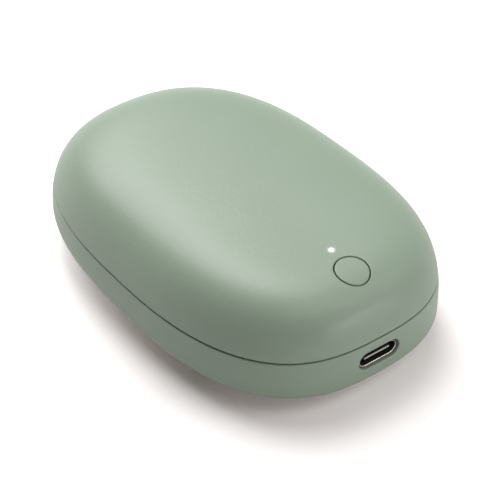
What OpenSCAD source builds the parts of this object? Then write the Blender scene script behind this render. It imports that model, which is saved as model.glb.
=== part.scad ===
// Pebble hand warmer that charges through a socket in its end, with one key and one lamp.
// The long axis lies along X with the socket end at +X, Z is up, and z = 0 is the face it rests on.

/* [Pebble] */
// Length of the pebble from end to end
body_length = 90; // [86:1:96]
// Width of the pebble across its middle
body_width = 60.2; // [58:0.2:64]
// Height of the crown above the widest section
upper_depth = 17.3; // [17:0.1:18]
// Depth from the widest section to the face it rests on
lower_depth = 8.8; // [8.4:0.1:9.4]
// How far the widest section drops toward the socket end
end_drop = 3.3; // [2.8:0.1:4]
// Depth of the flat that the round base is cut to
base_flat = 0.35; // [0.2:0.05:0.5]
// Thickness of both covers
wall = 1.8; // [1.6:0.1:2]

/* [Form] */
// Squareness of the outline at the socket end, where 2 is an ellipse
port_end_power = 2.74; // [2.6:0.01:3]
// Squareness of the outline at the far end
far_end_power = 2.42; // [2.3:0.01:2.7]
// Squareness of the upper cover's profile, away from the socket end
shoulder_power = 5.6; // [5:0.1:6]
// Squareness of the upper cover's profile at the socket end
port_shoulder_power = 16; // [10:1:18]
// How far the dome of the crown falls from its middle to the rim, away from the socket end
crown_fall = 1.3; // [1:0.1:1.5]
// How far the dome of the crown falls from its middle to the rim at the socket end
port_crown_fall = 3; // [2:0.1:3.2]
// How closely the socket end's profile keeps to the long axis
profile_power = 6; // [4:0.5:8]
// Squareness of the lower cover's profile
base_power = 3.2; // [2.8:0.1:3.8]
// Share by which the socket end is wider and the far end is narrower
egg_share = 0.013; // [0:0.001:0.03]

/* [Seam] */
// Height of the seam above the widest section
seam_rise = 4.6; // [4.4:0.1:4.8]
// Open height of the shadow line between the covers
seam_gap = 0.3; // [0.2:0.05:0.4]
// Chamfer on both edges at the seam
rim_chamfer = 0.2; // [0.1:0.05:0.3]
// How far the upper cover's lip reaches below the seam
lip_height = 1.8; // [1.6:0.1:2]
// Distance from the outside to the lip's outer face
lip_inset = 0.85; // [0.75:0.05:0.95]
// Clearance between the lip and the lower cover
lip_fit = 0.1; // [0.05:0.01:0.15]
// Width of a snap catch on the lip
catch_width = 4; // [3:0.5:5]
// Height of a snap catch
catch_height = 0.6; // [0.4:0.1:0.8]
// How far a snap catch stands out of the lip
catch_reach = 0.3; // [0.2:0.05:0.35]

/* [Key] */
// Distance from the socket end to the key's axis
key_setback = 9; // [8:0.5:10]
// Radius of the key where it shows
key_radius = 3.25; // [2.9:0.05:3.5]
// Open ring between the key and the upper cover
key_gap = 0.25; // [0.2:0.05:0.35]
// Clearance of the key's skirt in its guide
key_fit = 0.08; // [0.04:0.01:0.1]
// Travel of the key
key_travel = 0.3; // [0.2:0.05:0.4]
// Wall of the tube that guides the key
guide_wall = 1.2; // [1:0.1:1.5]
// Share of the room between the cover and the board, less the stem, that the key's guide takes
guide_share = 0.47; // [0.4:0.01:0.5]
// Radius of the stem that pushes the switch
stem_radius = 1.3; // [1:0.1:1.6]

/* [Lamp] */
// Distance from the key's axis to the lamp
lamp_pitch = 6.1; // [5.7:0.1:6.5]
// Radius of the light pipe's tip
lamp_radius = 0.55; // [0.4:0.05:0.7]
// Radius of the light pipe below the cover
pipe_radius = 1.1; // [0.9:0.05:1.2]

/* [Socket] */
// Depth of the socket's middle below the seam
port_drop = 4.1; // [4:0.1:4.4]
// Width of the socket's steel shell
port_width = 8.94; // [8.94:0.01:8.98]
// Height of the socket's steel shell
port_height = 3.16; // [3.16:0.01:3.18]
// Length of the socket's steel shell
port_length = 7.35; // [7:0.05:7.6]
// Thickness of the steel shell
port_wall = 0.3; // [0.25:0.05:0.35]
// How far the shell's mouth lies inside the pebble's end
port_recess = 0.5; // [0.4:0.05:0.7]
// Open ring between the shell and the lower cover
port_gap = 0.35; // [0.3:0.05:0.45]

/* [Board] */
// Thickness of the circuit board
board_thick = 1; // [0.8:0.1:1.2]
// Width of the circuit board
board_width = 32; // [31:0.5:33]
// Distance from the socket end to the board's inner edge
board_setback = 27.5; // [27:0.1:28]
// Side of the square push switch
switch_side = 6; // [6:0.1:6.2]
// Length of the key's stem between its flange and the switch
stem_drop = 1.1; // [0.8:0.1:1.4]
// Radius of the push switch's plunger
plunger_radius = 1.75; // [1.6:0.05:1.8]
// How far the plunger stands above the switch
plunger_rise = 1; // [0.8:0.05:1.2]

/* [Cells] */
// Distance from the pebble's far end to the cells
cell_end_room = 17; // [16.5:0.1:18]
// Share of the way out to the rim at which the cells' back corners lie
cell_corner_share = 0.82; // [0.8:0.0025:0.825]
// Thickness of the foam over the middle of the cells
upper_foam = 3.6; // [3.4:0.1:4]
// Thickness of the foam under the middle of the frame
lower_foam = 1.65; // [1.4:0.05:1.9]

/* [Heaters] */
// How far the heat plates reach past the board's inner edge
plate_lead = 2.5; // [2:0.1:3]
// How far the upper heat plate reaches past the cells on each side
plate_margin = 1; // [0:0.1:1.4]
// Thickness of a heat plate
plate_thick = 0.8; // [0.6:0.05:1]
// Thickness of a heating film
film_thick = 0.25; // [0.2:0.05:0.3]

/* [Frame] */
// Thickness of the frame's floor
frame_floor = 1.2; // [1:0.1:1.3]
// Thickness of the tray's walls
tray_wall = 1.2; // [1:0.1:1.3]
// Radius of a screw's shank
screw_radius = 1; // [0.9:0.05:1.1]
// Distance from the outline to the frame's screws
screw_inset = 5.6; // [5.4:0.1:5.8]
// Clearance between the frame's floor and the lower cover
frame_gap = 1.3; // [1:0.1:1.6]

/* [Hidden] */
$fn = 48;

// Overrun of every cut
cut = 0.5;
// Clearance between pieces that lie on each other
seat = 0.02;

// Main levels and half sizes
half_l = body_length / 2;
half_w = body_width / 2;
seam_z = lower_depth + seam_rise;
upper_rim_z = seam_z + seam_gap / 2;
lower_rim_z = seam_z - seam_gap / 2;
lip_end_z = seam_z - lip_height;
key_x = half_l - key_setback;
lamp_x = key_x - lamp_pitch;
board_start = half_l - board_setback;

// Facets round the pebble and rings over each half
around = 96;
crown_steps = 10;
dome_steps = 3;
base_steps = 9;

// Outline: a rounded oval that is squarer at the socket end than at the far end
function outline_power(c) = far_end_power + (port_end_power - far_end_power) * (1 + c) / 2;
function reach(a) = let(n = outline_power(cos(a)))
    pow(pow(abs(cos(a)), n) + pow(abs(sin(a)), n), -1 / n);
function rim_point(a, inset) = let(x = cos(a) * reach(a), y = sin(a) * reach(a))
    [x * (half_l - inset), y * (1 + egg_share * x) * (half_w - inset)];
function outline(inset) = [for (i = [0:around - 1]) rim_point(i * 360 / around, inset)];
// Direction that the outline faces at an angle
function facing(a, inset) = let(d = rim_point(a + 1, inset) - rim_point(a - 1, inset)) atan2(-d.x, d.y);

// Half width of the outline at a distance along X
function side_at(x, inset) = lookup(x, [for (a = [0:180]) rim_point(a, inset)]);

// Squareness of the upper profile and depth of its dome, which change toward the socket end
function toward_port(c) = pow((1 + c) / 2, profile_power);
function profile(c) = shoulder_power + (port_shoulder_power - shoulder_power) * toward_port(c);
function fall(c) = crown_fall + (port_crown_fall - crown_fall) * toward_port(c);

// Share of the outline that is left at a height, found by trying the last share again
share_tries = 10;
function upper_share(inset, z, c, share = 1, tries = share_tries) = tries == 0 ? share
    : upper_share(inset, z, c, pow(1 - pow((z - lower_depth)
        / (upper_depth - inset - fall(c) * pow(share, 2)), 2), 1 / profile(c)), tries - 1);

// Rings of the covers: upper_ring at a level, crown_ring at a part of the way from a level to the top and
// drawn in toward the middle, base_ring at an angle of the profile
function upper_ring(inset, z) = [for (i = [0:around - 1]) let(a = i * 360 / around,
    p = rim_point(a, inset) * upper_share(inset, z, cos(a))) [p.x, p.y, z]];
function crown_ring(inset, z, part, inward) = [for (i = [0:around - 1]) let(a = i * 360 / around,
    c = cos(a), start = acos(pow(upper_share(inset, z, c), profile(c) / 2)),
    s = inward * pow(cos(start + (90 - start) * part), 2 / profile(c)), p = rim_point(a, inset) * s)
    [p.x, p.y, lower_depth + (upper_depth - inset - fall(c) * pow(s, 2)) * sqrt(1 - pow(s, profile(c)))]];
function end_dip(c) = end_drop * pow((1 + c) / 2, 2);
function base_reach(inset) = inset > 0 ? lower_depth - inset : lower_depth + base_flat;
function base_ring(inset, t) = [for (i = [0:around - 1])
    let(a = i * 360 / around, p = rim_point(a, inset), d = end_dip(cos(a)), s = pow(cos(t), 2 / base_power))
    [p.x * s, p.y * s, lower_depth - d - (base_reach(inset) - d) * sin(t)]];
function crown_rings(inset, z) = concat(
    [for (i = [0:crown_steps - 1]) crown_ring(inset, z, i / crown_steps, 1)],
    [for (i = [dome_steps - 1:-1:1]) crown_ring(inset, z, 1 - 1 / crown_steps, i / dome_steps)]);
function base_rings(inset) = [for (i = [base_steps - 1:-1:0]) base_ring(inset, 90 * i / base_steps)];

// Height of the covers' surfaces over a point, with the share of the way out to the rim
function way_out(x, y, inset) = let(u = x / (half_l - inset),
    v = y / (half_w - inset) / (1 + egg_share * u), r = norm([u, v]), c = r > 0 ? u / r : 0,
    n = outline_power(c)) [pow(pow(abs(u), n) + pow(abs(v), n), 1 / n), c];
function upper_z(x, y, inset) = let(w = way_out(x, y, inset)) lower_depth
    + (upper_depth - inset - fall(w[1]) * pow(w[0], 2)) * sqrt(1 - pow(w[0], profile(w[1])));
function lower_z(x, y, inset) = let(w = way_out(x, y, inset), d = end_dip(w[1]))
    lower_depth - d - (base_reach(inset) - d) * sqrt(1 - pow(w[0], base_power));

// Solid through a stack of rings, closed by a tip or by a flat at each end
module loft(rings, low_tip = undef, high_tip = undef) {
    n = len(rings[0]);
    m = len(rings);
    points = concat([for (r = rings) each r], [low_tip == undef ? rings[0][0] : low_tip],
        [high_tip == undef ? rings[m - 1][0] : high_tip]);
    sides = [for (i = [0:m - 2], j = [0:n - 1]) let(a = i * n + j, b = i * n + (j + 1) % n)
        each [[a, b + n, b], [a, a + n, b + n]]];
    low = low_tip == undef ? [[for (j = [0:n - 1]) j]] : [for (j = [0:n - 1]) [j, (j + 1) % n, n * m]];
    high = high_tip == undef ? [[for (j = [n - 1:-1:0]) (m - 1) * n + j]]
        : [for (j = [0:n - 1]) [(m - 1) * n + (j + 1) % n, (m - 1) * n + j, n * m + 1]];
    polyhedron(points, concat(sides, low, high), convexity = 6);
}

// Thin solid over a rectangle of cells, between two height functions of x and y
module sheet(x_from, x_to, y_from, y_to, columns, rows, low, high) {
    w = columns + 1;
    k = w * (rows + 1);
    spots = [for (j = [0:rows], i = [0:columns])
        [x_from + (x_to - x_from) * i / columns, y_from + (y_to - y_from) * j / rows]];
    points = concat([for (p = spots) [p.x, p.y, low(p.x, p.y)]],
        [for (p = spots) [p.x, p.y, high(p.x, p.y)]]);
    cells = [for (j = [0:rows - 1], i = [0:columns - 1]) j * w + i];
    edge = concat([for (i = [0:columns - 1]) i], [for (j = [0:rows - 1]) j * w + columns],
        [for (i = [columns:-1:1]) rows * w + i], [for (j = [rows:-1:1]) j * w]);
    e = len(edge);
    faces = concat([for (c = cells) each [[c, c + 1, c + w + 1], [c, c + w + 1, c + w]]],
        [for (c = cells) each [[k + c, k + c + w + 1, k + c + 1], [k + c, k + c + w, k + c + w + 1]]],
        [for (i = [0:e - 1]) let(a = edge[i], b = edge[(i + 1) % e])
            each [[a, k + b, b], [a, k + a, k + b]]]);
    polyhedron(points, faces, convexity = 4);
}

// Strip or wire along a path in an XZ plane; section points are [across the path, along Y]
module sweep(path, section) {
    n = len(path);
    rings = [for (i = [0:n - 1])
        let(d = path[min(i + 1, n - 1)] - path[max(i - 1, 0)], u = d / norm(d), across = [-u.z, 0, u.x])
        [for (s = section) path[i] + across * s[0] + [0, s[1], 0]]];
    k = len(section);
    points = [for (r = rings) each r];
    faces = concat([for (i = [0:n - 2], j = [0:k - 1]) let(a = i * k + j, b = i * k + (j + 1) % k)
        each [[a, b, b + k], [a, b + k, a + k]]],
        [[for (j = [k - 1:-1:0]) j]], [[for (j = [0:k - 1]) (n - 1) * k + j]]);
    polyhedron(points, faces, convexity = 6);
}
// Point on a smooth curve from a to d, which leaves a toward b and reaches d from c
function bend(a, b, c, d, t) =
    a * pow(1 - t, 3) + 3 * b * t * pow(1 - t, 2) + 3 * c * (1 - t) * pow(t, 2) + d * pow(t, 3);
bend_steps = 14;
function bend_path(a, b, c, d) = [for (i = [0:bend_steps]) bend(a, b, c, d, i / bend_steps)];

module rounded_plate(length, width, thick, corner) {
    linear_extrude(thick) offset(corner) square([length - 2 * corner, width - 2 * corner], center = true);
}
// Bar along X with round sides, centred on its section
module flat_bar(length, width, height) {
    for (side = [-1, 1]) translate([0, side * (width - height) / 2, 0])
        rotate([0, 90, 0]) cylinder(h = length, d = height);
    translate([0, -(width - height) / 2, -height / 2]) cube([length, width - height, height]);
}
// Place on the upper cover's side at an angle and a level, with X outward
module at_side(a, inset, z) {
    p = rim_point(a, inset) * upper_share(inset, z, cos(a));
    translate([p.x, p.y, z]) rotate(facing(a, inset)) children();
}

// Covers
catch_angles = [50, 90, 130, 180, 230, 270, 310];
catch_z = (lip_end_z + lower_rim_z) / 2;
pocket_fit = 0.1;
rebate_inset = lip_inset - lip_fit;
rebate_z = lip_end_z - lip_fit;
module snap_catches() {
    for (a = catch_angles) at_side(a, lip_inset, catch_z)
        translate([catch_reach / 2 - lip_inset / 4, 0, 0])
            cube([catch_reach + lip_inset / 2, catch_width, catch_height], center = true);
}
module snap_pockets() {
    for (a = catch_angles) at_side(a, lip_inset, catch_z)
        translate([(catch_reach + pocket_fit) / 2 - lip_inset / 4, 0, 0])
            cube([catch_reach + pocket_fit + lip_inset / 2, catch_width + 2 * pocket_fit,
                catch_height + 2 * pocket_fit], center = true);
}

// Levels and sizes of the frame, the cells and the board
heater_gap = 0.2;
heater_thick = heater_gap + plate_thick + film_thick;
frame_z = wall + heater_thick + lower_foam - base_flat / 2;
cell_z = frame_z + frame_floor + seat;
cells_top = lower_depth + upper_depth - wall - heater_thick - upper_foam;
cell_thick = (cells_top - cell_z - seat) / 2;
cell_back = half_l - cell_end_room;
tray_gap = 0.4;
board_gap = 2.5;
tray_x0 = -cell_back - tray_gap;
tray_x1 = board_start - board_gap - tray_wall;
port_z = seam_z - port_drop;
board_z = port_z + port_height / 2 + seat;
board_top = board_z + board_thick;

// Key: its bore, guide tube, flange and anti-turn rib
key_bore = key_radius + key_gap;
skirt_radius = key_bore - key_fit;
guide_radius = key_bore + guide_wall;
flange_thick = 0.8;
key_room = upper_z(key_x, 0, wall) - board_top - flange_thick - stem_drop - plunger_rise;
guide_depth = guide_share * key_room;
guide_end_z = upper_z(key_x, 0, wall) - guide_depth;
skirt_top_z = upper_z(key_x + key_bore, 0, wall / 2);
flange_reach = 0.35;
flange_radius = key_bore + flange_reach;
rib_width = 1.2;
stem_end_z = guide_end_z - flange_thick - stem_drop;
switch_top = stem_end_z - seat - plunger_rise;
switch_height = switch_top - board_top;

// Light pipe
pipe_wall = 0.9;
pipe_fit = 0.05;
pipe_guide = 3.2;
pipe_top_z = upper_z(lamp_x + pipe_radius, 0, wall) - seat;
led_height = 0.8;

// Frame fasteners
boss_radius = 2.4;
ear_radius = 2.6;
ear_thick = 3;
ear_rise = 0.65;
ear_top_z = upper_rim_z + ear_rise;
screw_fit = 0.03;
boss_skin = 0.7;
head_radius = 1.9;
head_height = 1.3;
screw_back_lead = 6.5;
screw_front_lead = 1.6;
screw_spots = [for (x = [screw_back_lead - cell_back, tray_x1 - screw_front_lead])
    [x, side_at(x, screw_inset)]];
screw_grip = min([for (p = screw_spots) upper_z(p.x, p.y, wall)]) - ear_top_z - boss_skin;

// Cells: as wide as the cover's shoulder and the screws' bosses leave room for
sealed_end = 3.2;
sealed_thick = 0.4;
guard_thick = 0.8;
guard_margin = 5;
cell_end_share = cell_back / (half_l - wall);
cell_corner_room = (half_w - wall) * (1 - egg_share * cell_end_share) * pow(pow(cell_corner_share,
    far_end_power) - pow(cell_end_share, far_end_power), 1 / far_end_power);
cell_screw_room = screw_spots[0].y - boss_radius - 2 * tray_gap - tray_wall;
cell_width = 2 * min(cell_corner_room, cell_screw_room);
cell_front = tray_x1 - 2 * tray_gap - guard_thick - sealed_end;
cell_length = cell_front + cell_back;
guard_half = cell_width / 2 - guard_margin;
tray_half = cell_width / 2 + tray_gap;

module upper_cover() color([0.62, 0.69, 0.61]) difference() {
    union() {
        loft(concat([upper_ring(lip_inset, lip_end_z), upper_ring(lip_inset, upper_rim_z),
            upper_ring(rim_chamfer, upper_rim_z)], crown_rings(0, upper_rim_z + rim_chamfer)),
            high_tip = [0, 0, lower_depth + upper_depth]);
        snap_catches();
    }
    difference() {
        loft(concat([upper_ring(wall, lip_end_z - cut)], crown_rings(wall, seam_z)),
            high_tip = [0, 0, lower_depth + upper_depth - wall]);
        for (p = screw_spots, side = [-1, 1]) translate([p.x, side * p.y, ear_top_z])
            cylinder(h = upper_depth, r = boss_radius);
        translate([key_x, 0, guide_end_z]) cylinder(h = upper_depth, r = guide_radius);
        translate([lamp_x, 0, pipe_top_z - pipe_guide])
            cylinder(h = upper_depth, r = pipe_radius + pipe_fit + pipe_wall);
    }
    for (p = screw_spots, side = [-1, 1]) translate([p.x, side * p.y, ear_top_z - cut])
        cylinder(h = screw_grip + cut, r = screw_radius + screw_fit);
    translate([key_x, 0, guide_end_z - cut]) cylinder(h = upper_depth, r = key_bore);
    translate([key_x - key_bore - guide_wall / 2, -rib_width / 2, guide_end_z - cut])
        cube([guide_wall, rib_width, guide_depth / 2 + cut]);
    translate([lamp_x, 0, pipe_top_z - pipe_guide - cut])
        cylinder(h = pipe_guide + cut, r = pipe_radius + pipe_fit);
    translate([lamp_x, 0, pipe_top_z - cut]) cylinder(h = upper_depth, r = lamp_radius + pipe_fit);
}

// Lower cover: posts under the frame and a rib under the socket
post_radius = 1.8;
post_back_lead = 3;
post_back_y = 10;
post_front_setback = 2.5;
post_front_y = 12;
post_spots = [[-cell_back - post_back_lead, post_back_y], [key_x - post_front_setback, post_front_y]];
cradle_length = 1.5;
cradle_width = 7;
port_face_x = half_l - port_recess;
cradle_x = half_l - wall - 1.5 * cradle_length;
module lower_cover() color([0.56, 0.63, 0.55]) difference() {
    loft(concat(base_rings(0), [upper_ring(0, lower_depth + seam_rise / 2),
        upper_ring(0, lower_rim_z - rim_chamfer), upper_ring(rim_chamfer, lower_rim_z)]),
        low_tip = [0, 0, -base_flat]);
    difference() {
        loft(concat(base_rings(wall), [upper_ring(wall, rebate_z), upper_ring(rebate_inset, rebate_z),
            upper_ring(rebate_inset, lower_rim_z + cut)]), low_tip = [0, 0, wall]);
        for (p = post_spots, side = [-1, 1]) translate([p.x, side * p.y, 0])
            cylinder(h = frame_z - seat, r = post_radius);
        translate([cradle_x, -cradle_width / 2, 0])
            cube([cradle_length, cradle_width, port_z - port_height / 2 - seat]);
    }
    snap_pockets();
    translate([half_l - wall - cut, 0, port_z])
        flat_bar(wall + 2 * cut, port_width + 2 * port_gap, port_height + 2 * port_gap);
    translate([-body_length, -body_width, -lower_depth]) cube([2 * body_length, 2 * body_width, lower_depth]);
}

module power_button() color([0.62, 0.69, 0.61]) {
    key_low = guide_end_z - seat;
    intersection() {
        translate([key_x, 0, key_low]) cylinder(h = upper_depth, r = key_radius);
        sheet(key_x - key_bore, key_x + key_bore, -key_bore, key_bore, 6, 6,
            function(x, y) key_low, function(x, y) upper_z(x, y, 0));
    }
    translate([key_x, 0, key_low]) cylinder(h = skirt_top_z - key_low, r = skirt_radius);
    translate([key_x, 0, key_low - flange_thick]) cylinder(h = flange_thick, r = flange_radius);
    translate([key_x - key_bore - guide_wall / 3, -(rib_width - 2 * key_fit) / 2, key_low])
        cube([guide_wall, rib_width - 2 * key_fit, guide_depth / 2 - key_fit]);
    translate([key_x, 0, stem_end_z]) cylinder(h = key_low - stem_end_z, r = stem_radius);
}

module light_pipe() color([0.95, 0.95, 0.92]) {
    intersection() {
        translate([lamp_x, 0, pipe_top_z - cut]) cylinder(h = upper_depth, r = lamp_radius);
        sheet(lamp_x - 2 * lamp_radius, lamp_x + 2 * lamp_radius, -2 * lamp_radius, 2 * lamp_radius, 2, 2,
            function(x, y) pipe_top_z - cut, function(x, y) upper_z(x, y, 0));
    }
    translate([lamp_x, 0, board_top + led_height + seat])
        cylinder(h = pipe_top_z - board_top - led_height - 1.5 * seat, r = pipe_radius);
}
led_length = 1.6;
module status_led() color([0.97, 0.97, 0.85])
    translate([lamp_x, 0, board_top + led_height / 2 + seat / 2])
        cube([led_length, led_length, led_height - seat], center = true);

// Frame: floor, tray walls, screw ears and board posts
floor_share = pow(1 - pow((lower_depth - frame_z) / (lower_depth - wall), 2), 1 / base_power);
frame_back = floor_share * (half_l - wall) - frame_gap;
frame_front = cradle_x - frame_gap;
frame_half_l = (frame_front + frame_back) / 2;
frame_shift = (frame_front - frame_back) / 2;
frame_half_w = floor_share * (half_w - wall) - frame_gap;
tray_height = 9.3;
notch_half = guard_half / 2;
lead_rise = 1.6;
lead_level = board_top + lead_rise;
board_screw_inset = 4.5;
board_screw_side = 2.7;
board_screw_x = board_start + board_screw_inset;
board_screw_y = board_width / 2 - board_screw_side;
board_post_radius = 2.2;
front_post_lead = 0.5;
front_post_y = 10;
film_socket = [4, 7, 1.2];
film_socket_inset = 2.5;
film_socket_x = board_start + film_socket_inset + film_socket.x / 2;
film_socket_gap = 0.2;
tail_y = -(board_screw_y - board_post_radius - film_socket_gap - film_socket.y / 2);
tail_width = 5;
slot_from = film_socket_x + film_socket.x / 2;
slot_length = 8;
module frame_outline() {
    polygon([for (p = outline(0)) [frame_shift + p.x * frame_half_l / half_l,
        p.y * frame_half_w / half_w]]);
}
module mid_frame() color([0.22, 0.23, 0.24]) difference() {
    union() {
        translate([0, 0, frame_z]) linear_extrude(frame_floor) frame_outline();
        translate([(tray_x0 + tray_x1) / 2, 0, frame_z]) rounded_plate(tray_x1 - tray_x0 + 2 * tray_wall,
            2 * (tray_half + tray_wall), frame_floor + tray_height, cell_corner + tray_wall);
        for (p = screw_spots, side = [-1, 1]) {
            translate([p.x, side * p.y, ear_top_z - ear_thick])
                cylinder(h = ear_thick - seat, r = ear_radius);
            translate([p.x - ear_radius / 2, side > 0 ? tray_half : -p.y, ear_top_z - ear_thick])
                cube([ear_radius, p.y - tray_half, ear_thick - seat]);
        }
        for (side = [-1, 1]) {
            translate([board_screw_x, side * board_screw_y, frame_z])
                cylinder(h = board_z - seat - frame_z, r = board_post_radius);
            translate([key_x + front_post_lead, side * front_post_y, frame_z])
                cylinder(h = board_z - seat - frame_z, r = stem_radius);
        }
    }
    translate([(tray_x0 + tray_x1) / 2, 0, cell_z - seat])
        rounded_plate(tray_x1 - tray_x0, 2 * tray_half, upper_depth, cell_corner);
    translate([tray_x1 - cut, -notch_half, lead_level - notch_half / 2])
        cube([tray_wall + 2 * cut, 2 * notch_half, notch_half * 2]);
    for (p = screw_spots, side = [-1, 1]) translate([p.x, side * p.y, ear_top_z - ear_thick - cut])
        cylinder(h = ear_thick + 2 * cut, r = screw_radius + screw_fit);
    for (side = [-1, 1]) translate([board_screw_x, side * board_screw_y, board_z - seat - board_grip])
        cylinder(h = board_grip + cut, r = board_screw_radius + screw_fit);
    translate([slot_from, tail_y - tail_width / 2 - tray_gap, frame_z - cut])
        cube([slot_length, tail_width + 2 * tray_gap, frame_floor + 2 * cut]);
}

// Screw that points up, its head's top face at z = 0 and the shank above it
module screw(radius, length, head, height) {
    cylinder(h = length, r = radius);
    translate([0, 0, -height]) difference() {
        cylinder(h = height, r = head);
        translate([0, 0, -cut]) cylinder(h = height / 2 + cut, r = head / 2, $fn = 6);
    }
}
module frame_screws() color([0.7, 0.7, 0.72]) for (p = screw_spots, side = [-1, 1])
    translate([p.x, side * p.y, ear_top_z - ear_thick - seat])
        screw(screw_radius, ear_thick + screw_grip - 2 * seat, head_radius, head_height);

board_grip = 4;
board_screw_radius = 0.8;
board_screw_head = 1.5;
board_screw_height = 1;
board_inset = 0.6;
leg_width = 1.2;
leg_setback = 3.2;
leg_pitch = 2.8;
leg_spots = [leg_setback, leg_setback + leg_pitch];
leg_fit = 0.1;
leg_tip = 0.3;
module board_outline() intersection() {
    polygon(outline(wall + board_inset));
    translate([board_start, -board_width / 2]) square([body_length, board_width]);
}
module shell_legs(fit) {
    for (d = leg_spots, side = [-1, 1]) translate([port_face_x - d - leg_width / 2 - fit,
        side * (port_width - port_wall) / 2 - port_wall / 2 - fit, port_z])
            cube([leg_width + 2 * fit, port_wall + 2 * fit, board_top + leg_tip + fit - port_z]);
}
module main_board() color([0.1, 0.32, 0.2]) difference() {
    translate([0, 0, board_z]) linear_extrude(board_thick) board_outline();
    for (side = [-1, 1]) translate([board_screw_x, side * board_screw_y, board_z - cut])
        cylinder(h = board_thick + 2 * cut, r = board_screw_radius + leg_fit);
    shell_legs(leg_fit);
}
module board_screws() color([0.7, 0.7, 0.72]) for (side = [-1, 1])
    translate([board_screw_x, side * board_screw_y, board_top + seat]) mirror([0, 0, 1])
        screw(board_screw_radius, board_thick + board_grip - seat, board_screw_head, board_screw_height);

// Charging socket
block_length = 1.8;
tongue_width = 6.69;
tongue_thick = 0.7;
tongue_recess = 0.6;
contact_pitch = 0.5;
contact_width = 0.25;
contact_thick = 0.04;
contact_length = 4;
contact_count = 12;
module usb_shell() color([0.75, 0.74, 0.73]) {
    difference() {
        translate([port_face_x - port_length, 0, port_z]) flat_bar(port_length, port_width, port_height);
        translate([port_face_x - port_length - cut, 0, port_z])
            flat_bar(port_length + 2 * cut, port_width - 2 * port_wall, port_height - 2 * port_wall);
    }
    difference() {
        shell_legs(0);
        translate([port_face_x - port_length, 0, port_z])
            flat_bar(port_length, port_width - port_wall, port_height - port_wall);
    }
}
module usb_tongue() color([0.06, 0.06, 0.06]) {
    translate([port_face_x - port_length, 0, port_z])
        flat_bar(block_length, port_width - 2 * port_wall - 2 * seat, port_height - 2 * port_wall - 2 * seat);
    translate([port_face_x - port_length, -tongue_width / 2, port_z - tongue_thick / 2])
        cube([port_length - tongue_recess, tongue_width, tongue_thick]);
}
module usb_contacts() color([0.85, 0.68, 0.3])
    for (i = [0:contact_count - 1], side = [-1, 1])
        translate([port_face_x - tongue_recess - contact_width - contact_length,
            (i - (contact_count - 1) / 2) * contact_pitch - contact_width / 2,
            port_z + side * (tongue_thick + contact_thick) / 2 - contact_thick / 2])
            cube([contact_length, contact_width, contact_thick]);

// Push switch under the key
switch_plate = 0.3;
plunger_fit = 0.1;
plunger_foot = 0.6;
plunger_foot_step = 0.45;
foot_top_z = switch_top - switch_plate - seat;
foot_z = foot_top_z - plunger_foot;
module switch_body() color([0.08, 0.08, 0.08]) difference() {
    translate([key_x - switch_side / 2, -switch_side / 2, board_top + seat])
        cube([switch_side, switch_side, switch_height - switch_plate - 2 * seat]);
    translate([key_x, 0, foot_z - key_travel - 2 * plunger_fit])
        cylinder(h = switch_height, r = plunger_radius + plunger_foot_step + plunger_fit);
}
module switch_cover() color([0.72, 0.72, 0.72]) difference() {
    translate([key_x - switch_side / 2, -switch_side / 2, switch_top - switch_plate])
        cube([switch_side, switch_side, switch_plate]);
    translate([key_x, 0, switch_top - switch_plate - cut])
        cylinder(h = switch_plate + 2 * cut, r = plunger_radius + plunger_fit);
}
module switch_plunger() color([0.9, 0.9, 0.88]) {
    translate([key_x, 0, foot_z]) cylinder(h = switch_top + plunger_rise - foot_z, r = plunger_radius);
    translate([key_x, 0, foot_z]) cylinder(h = plunger_foot, r = plunger_radius + plunger_foot_step);
}

// Sizes of the parts on the board, and their places as shares of its length and its half width
inductor = [6, 6, 2.8];
inductor_ring = 1;
inductor_groove = 0.04;
charger = [4, 4, 0.9];
controller = [5, 5, 1];
capacitor = [2, 1.25, 1.25];
inductor_place_share = [0.415, 0.59];
charger_place_share = [0.263, 0.2];
controller_place_share = [0.54, -0.59];
capacitor_place_shares = [[0.44, 0.245], [0.614, 0.388], [0.614, 0.563], [0.343, -0.813], [0.39, -0.05]];
board_reach = half_l - wall - board_inset - board_start;
module on_board(place_share) {
    translate([board_start + place_share.x * board_reach, place_share.y * board_width / 2, board_top + seat])
        children();
}
module board_part(size) translate([-size.x / 2, -size.y / 2, 0]) cube(size);
module power_inductor() color([0.25, 0.25, 0.26]) on_board(inductor_place_share) difference() {
    board_part(inductor);
    translate([0, 0, inductor.z - inductor_groove]) difference() {
        cylinder(h = cut, r = inductor.x / 2 - inductor_groove);
        translate([0, 0, -cut]) cylinder(h = 3 * cut, r = inductor.x / 2 - inductor_ring);
    }
}
module charge_chip() color([0.1, 0.1, 0.1]) on_board(charger_place_share) board_part(charger);
module controller_chip() color([0.1, 0.1, 0.1]) on_board(controller_place_share) board_part(controller);
module board_capacitors() color([0.66, 0.55, 0.42])
    for (s = capacitor_place_shares) on_board(s) board_part(capacitor);

// Sockets for the heating films' tails, one on each face of the board
tail_play = 0.05;
module film_sockets() color([0.92, 0.9, 0.85]) for (side = [0, 1]) {
    base = side > 0 ? board_top + seat : board_z - seat - film_socket.z;
    slot_z = base + (film_socket.z - film_thick) / 2 - tail_play;
    translate([film_socket_x - film_socket.x / 2, tail_y - film_socket.y / 2, base]) difference() {
        cube(film_socket);
        translate([film_socket.x / 2, (film_socket.y - tail_width) / 2 - tail_play, slot_z - base])
            cube([film_socket.x, tail_width + 2 * tail_play, film_thick + 2 * tail_play]);
    }
}

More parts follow.
